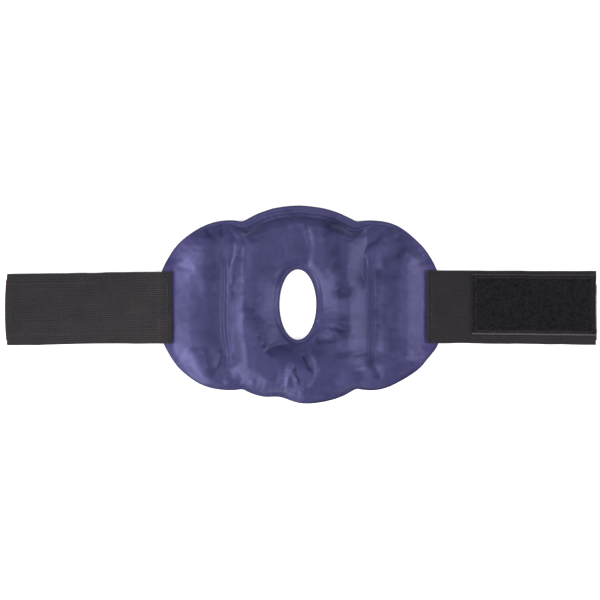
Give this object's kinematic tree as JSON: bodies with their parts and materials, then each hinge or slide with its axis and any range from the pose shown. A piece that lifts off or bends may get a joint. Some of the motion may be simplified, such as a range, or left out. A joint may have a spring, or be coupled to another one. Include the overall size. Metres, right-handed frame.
{
  "type": "gel wrap pad",
  "caption": "Soft gel hot-and-cold wrap pad with an oval opening, folding side lobes and elastic straps that close with hook and loop.",
  "frame": {"origin": "centre of the oval opening on the plane the pad's back rests on", "axes": "+X towards the strap with the loop patch, +Y towards the pad's top edge, +Z away from the limb, out of the front film"},
  "size_m": [0.5242, 0.177, 0.0154],
  "materials": {
    "front_film": "satin purple-blue vinyl film, wrinkled by the gel behind it",
    "back_film": "satin purple-blue vinyl film",
    "gel": "soft clear blue gel, hidden between the films",
    "elastic": "ribbed black elastic webbing, matt",
    "loop": "black brushed loop pile",
    "hook": "black moulded hook tape",
    "thread": "dark grey sewing thread"
  },
  "bodies": {
    "pad_centre": {"front_film_centre": "front_film", "back_film_centre": "back_film", "gel_centre": "gel"},
    "left_lobe": {"front_film_left": "front_film", "back_film_left": "back_film", "gel_left": "gel", "left_strap_hem": "elastic", "left_hem_needle_thread": "thread", "left_hem_bobbin_thread": "thread"},
    "right_lobe": {"front_film_right": "front_film", "back_film_right": "back_film", "gel_right": "gel", "right_strap_hem": "elastic", "right_hem_needle_thread": "thread", "right_hem_bobbin_thread": "thread"},
    "left_elastic_near": {"left_elastic_inner": "elastic"},
    "left_elastic_far": {"left_elastic_outer": "elastic"},
    "left_end": {"left_strap_end": "elastic", "hook_patch": "hook", "hook_patch_thread": "thread"},
    "right_elastic_near": {"right_elastic_inner": "elastic"},
    "right_elastic_far": {"right_elastic_outer": "elastic"},
    "right_end": {"right_strap_end": "elastic", "loop_patch": "loop", "loop_patch_thread": "thread"}
  },
  "joints": [
    {"name": "left_lobe_fold", "type": "hinge", "parent": "pad_centre", "child": "left_lobe", "pos_m": [-0.0624, 0, 0.0046], "axis": [0, -1, 0], "range_deg": [-80, 80]},
    {"name": "left_strap_fold", "type": "hinge", "parent": "left_lobe", "child": "left_elastic_near", "pos_m": [-0.1296, -0.0022, 0.00635], "axis": [0, -1, 0], "range_deg": [-20, 20]},
    {"name": "left_elastic_stretch", "type": "slide", "parent": "left_elastic_near", "child": "left_elastic_far", "axis": [-0.9904, 0, -0.1382], "range_m": [0, 0.015], "stiffness_N_per_m": 500},
    {"name": "left_end_fold", "type": "hinge", "parent": "left_elastic_far", "child": "left_end", "pos_m": [-0.1572, -0.0022, 0.0025], "axis": [0, -1, 0], "range_deg": [-80, 80]},
    {"name": "right_lobe_fold", "type": "hinge", "parent": "pad_centre", "child": "right_lobe", "pos_m": [0.0624, 0, 0.0046], "axis": [0, 1, 0], "range_deg": [-80, 80]},
    {"name": "right_strap_fold", "type": "hinge", "parent": "right_lobe", "child": "right_elastic_near", "pos_m": [0.1296, -0.0022, 0.00635], "axis": [0, 1, 0], "range_deg": [-20, 20]},
    {"name": "right_elastic_stretch", "type": "slide", "parent": "right_elastic_near", "child": "right_elastic_far", "axis": [0.9696, 0, -0.2446], "range_m": [0, 0.015], "stiffness_N_per_m": 500},
    {"name": "right_end_fold", "type": "hinge", "parent": "right_elastic_far", "child": "right_end", "pos_m": [0.152, -0.0022, 0.0007], "axis": [0, 1, 0], "range_deg": [-80, 80]}
  ]
}
